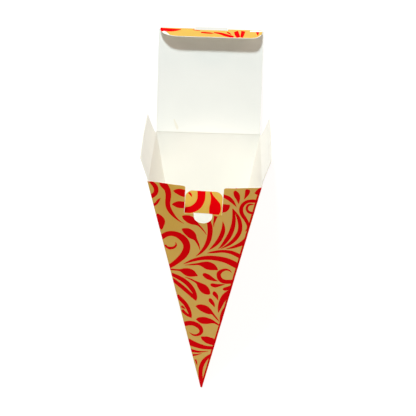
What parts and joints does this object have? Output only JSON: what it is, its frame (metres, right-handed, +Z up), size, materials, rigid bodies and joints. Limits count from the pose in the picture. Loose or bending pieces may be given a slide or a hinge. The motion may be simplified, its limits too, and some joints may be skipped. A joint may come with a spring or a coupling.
{
  "type": "cone packaging box",
  "caption": "Folded card cone box with a square mouth, hinged lid with tuck flap, dust flaps and a locking tongue, lying open on its back.",
  "frame": {"origin": "centre of the bounding box's footprint, on the surface that the box lies on", "axes": "+Y runs from the point of the cone to its mouth and the opened lid, +X to the right seen from above with the lid at the top, +Z up"},
  "size_m": [0.0928, 0.2976, 0.0963],
  "materials": {
    "printed_card": "satin coated outside with a red scroll print on gold, plain white inside"
  },
  "bodies": {
    "cone": {"cone_body": "printed_card"},
    "lid": {"lid": "printed_card"},
    "tuck_flap": {"tuck_flap": "printed_card"},
    "left_dust_flap": {"left_dust_flap": "printed_card"},
    "right_dust_flap": {"right_dust_flap": "printed_card"},
    "lock_tongue": {"lock_tongue": "printed_card"}
  },
  "joints": [
    {"name": "lid_hinge", "type": "hinge", "parent": "cone", "child": "lid", "pos_m": [0, 0.07049, 0.01596], "axis": [1, 0, 0], "range_deg": [-60, 115.5]},
    {"name": "tuck_fold", "type": "hinge", "parent": "lid", "child": "tuck_flap", "pos_m": [0, 0.14711, 0.00082], "axis": [1, 0, 0], "range_deg": [-125, 20]},
    {"name": "left_flap_hinge", "type": "hinge", "parent": "cone", "child": "left_dust_flap", "pos_m": [-0.03949, 0.05995, 0.05402], "axis": [0, 0.2474, -0.9689], "range_deg": [-60, 112]},
    {"name": "right_flap_hinge", "type": "hinge", "parent": "cone", "child": "right_dust_flap", "pos_m": [0.03949, 0.05995, 0.05402], "axis": [0, -0.2474, 0.9689], "range_deg": [-60, 112]},
    {"name": "tongue_hinge", "type": "hinge", "parent": "cone", "child": "lock_tongue", "pos_m": [-0.00088, 0.02561, 0.08428], "axis": [-0.9994, 0.0338, 0.0086], "range_deg": [-34, 66]}
  ]
}
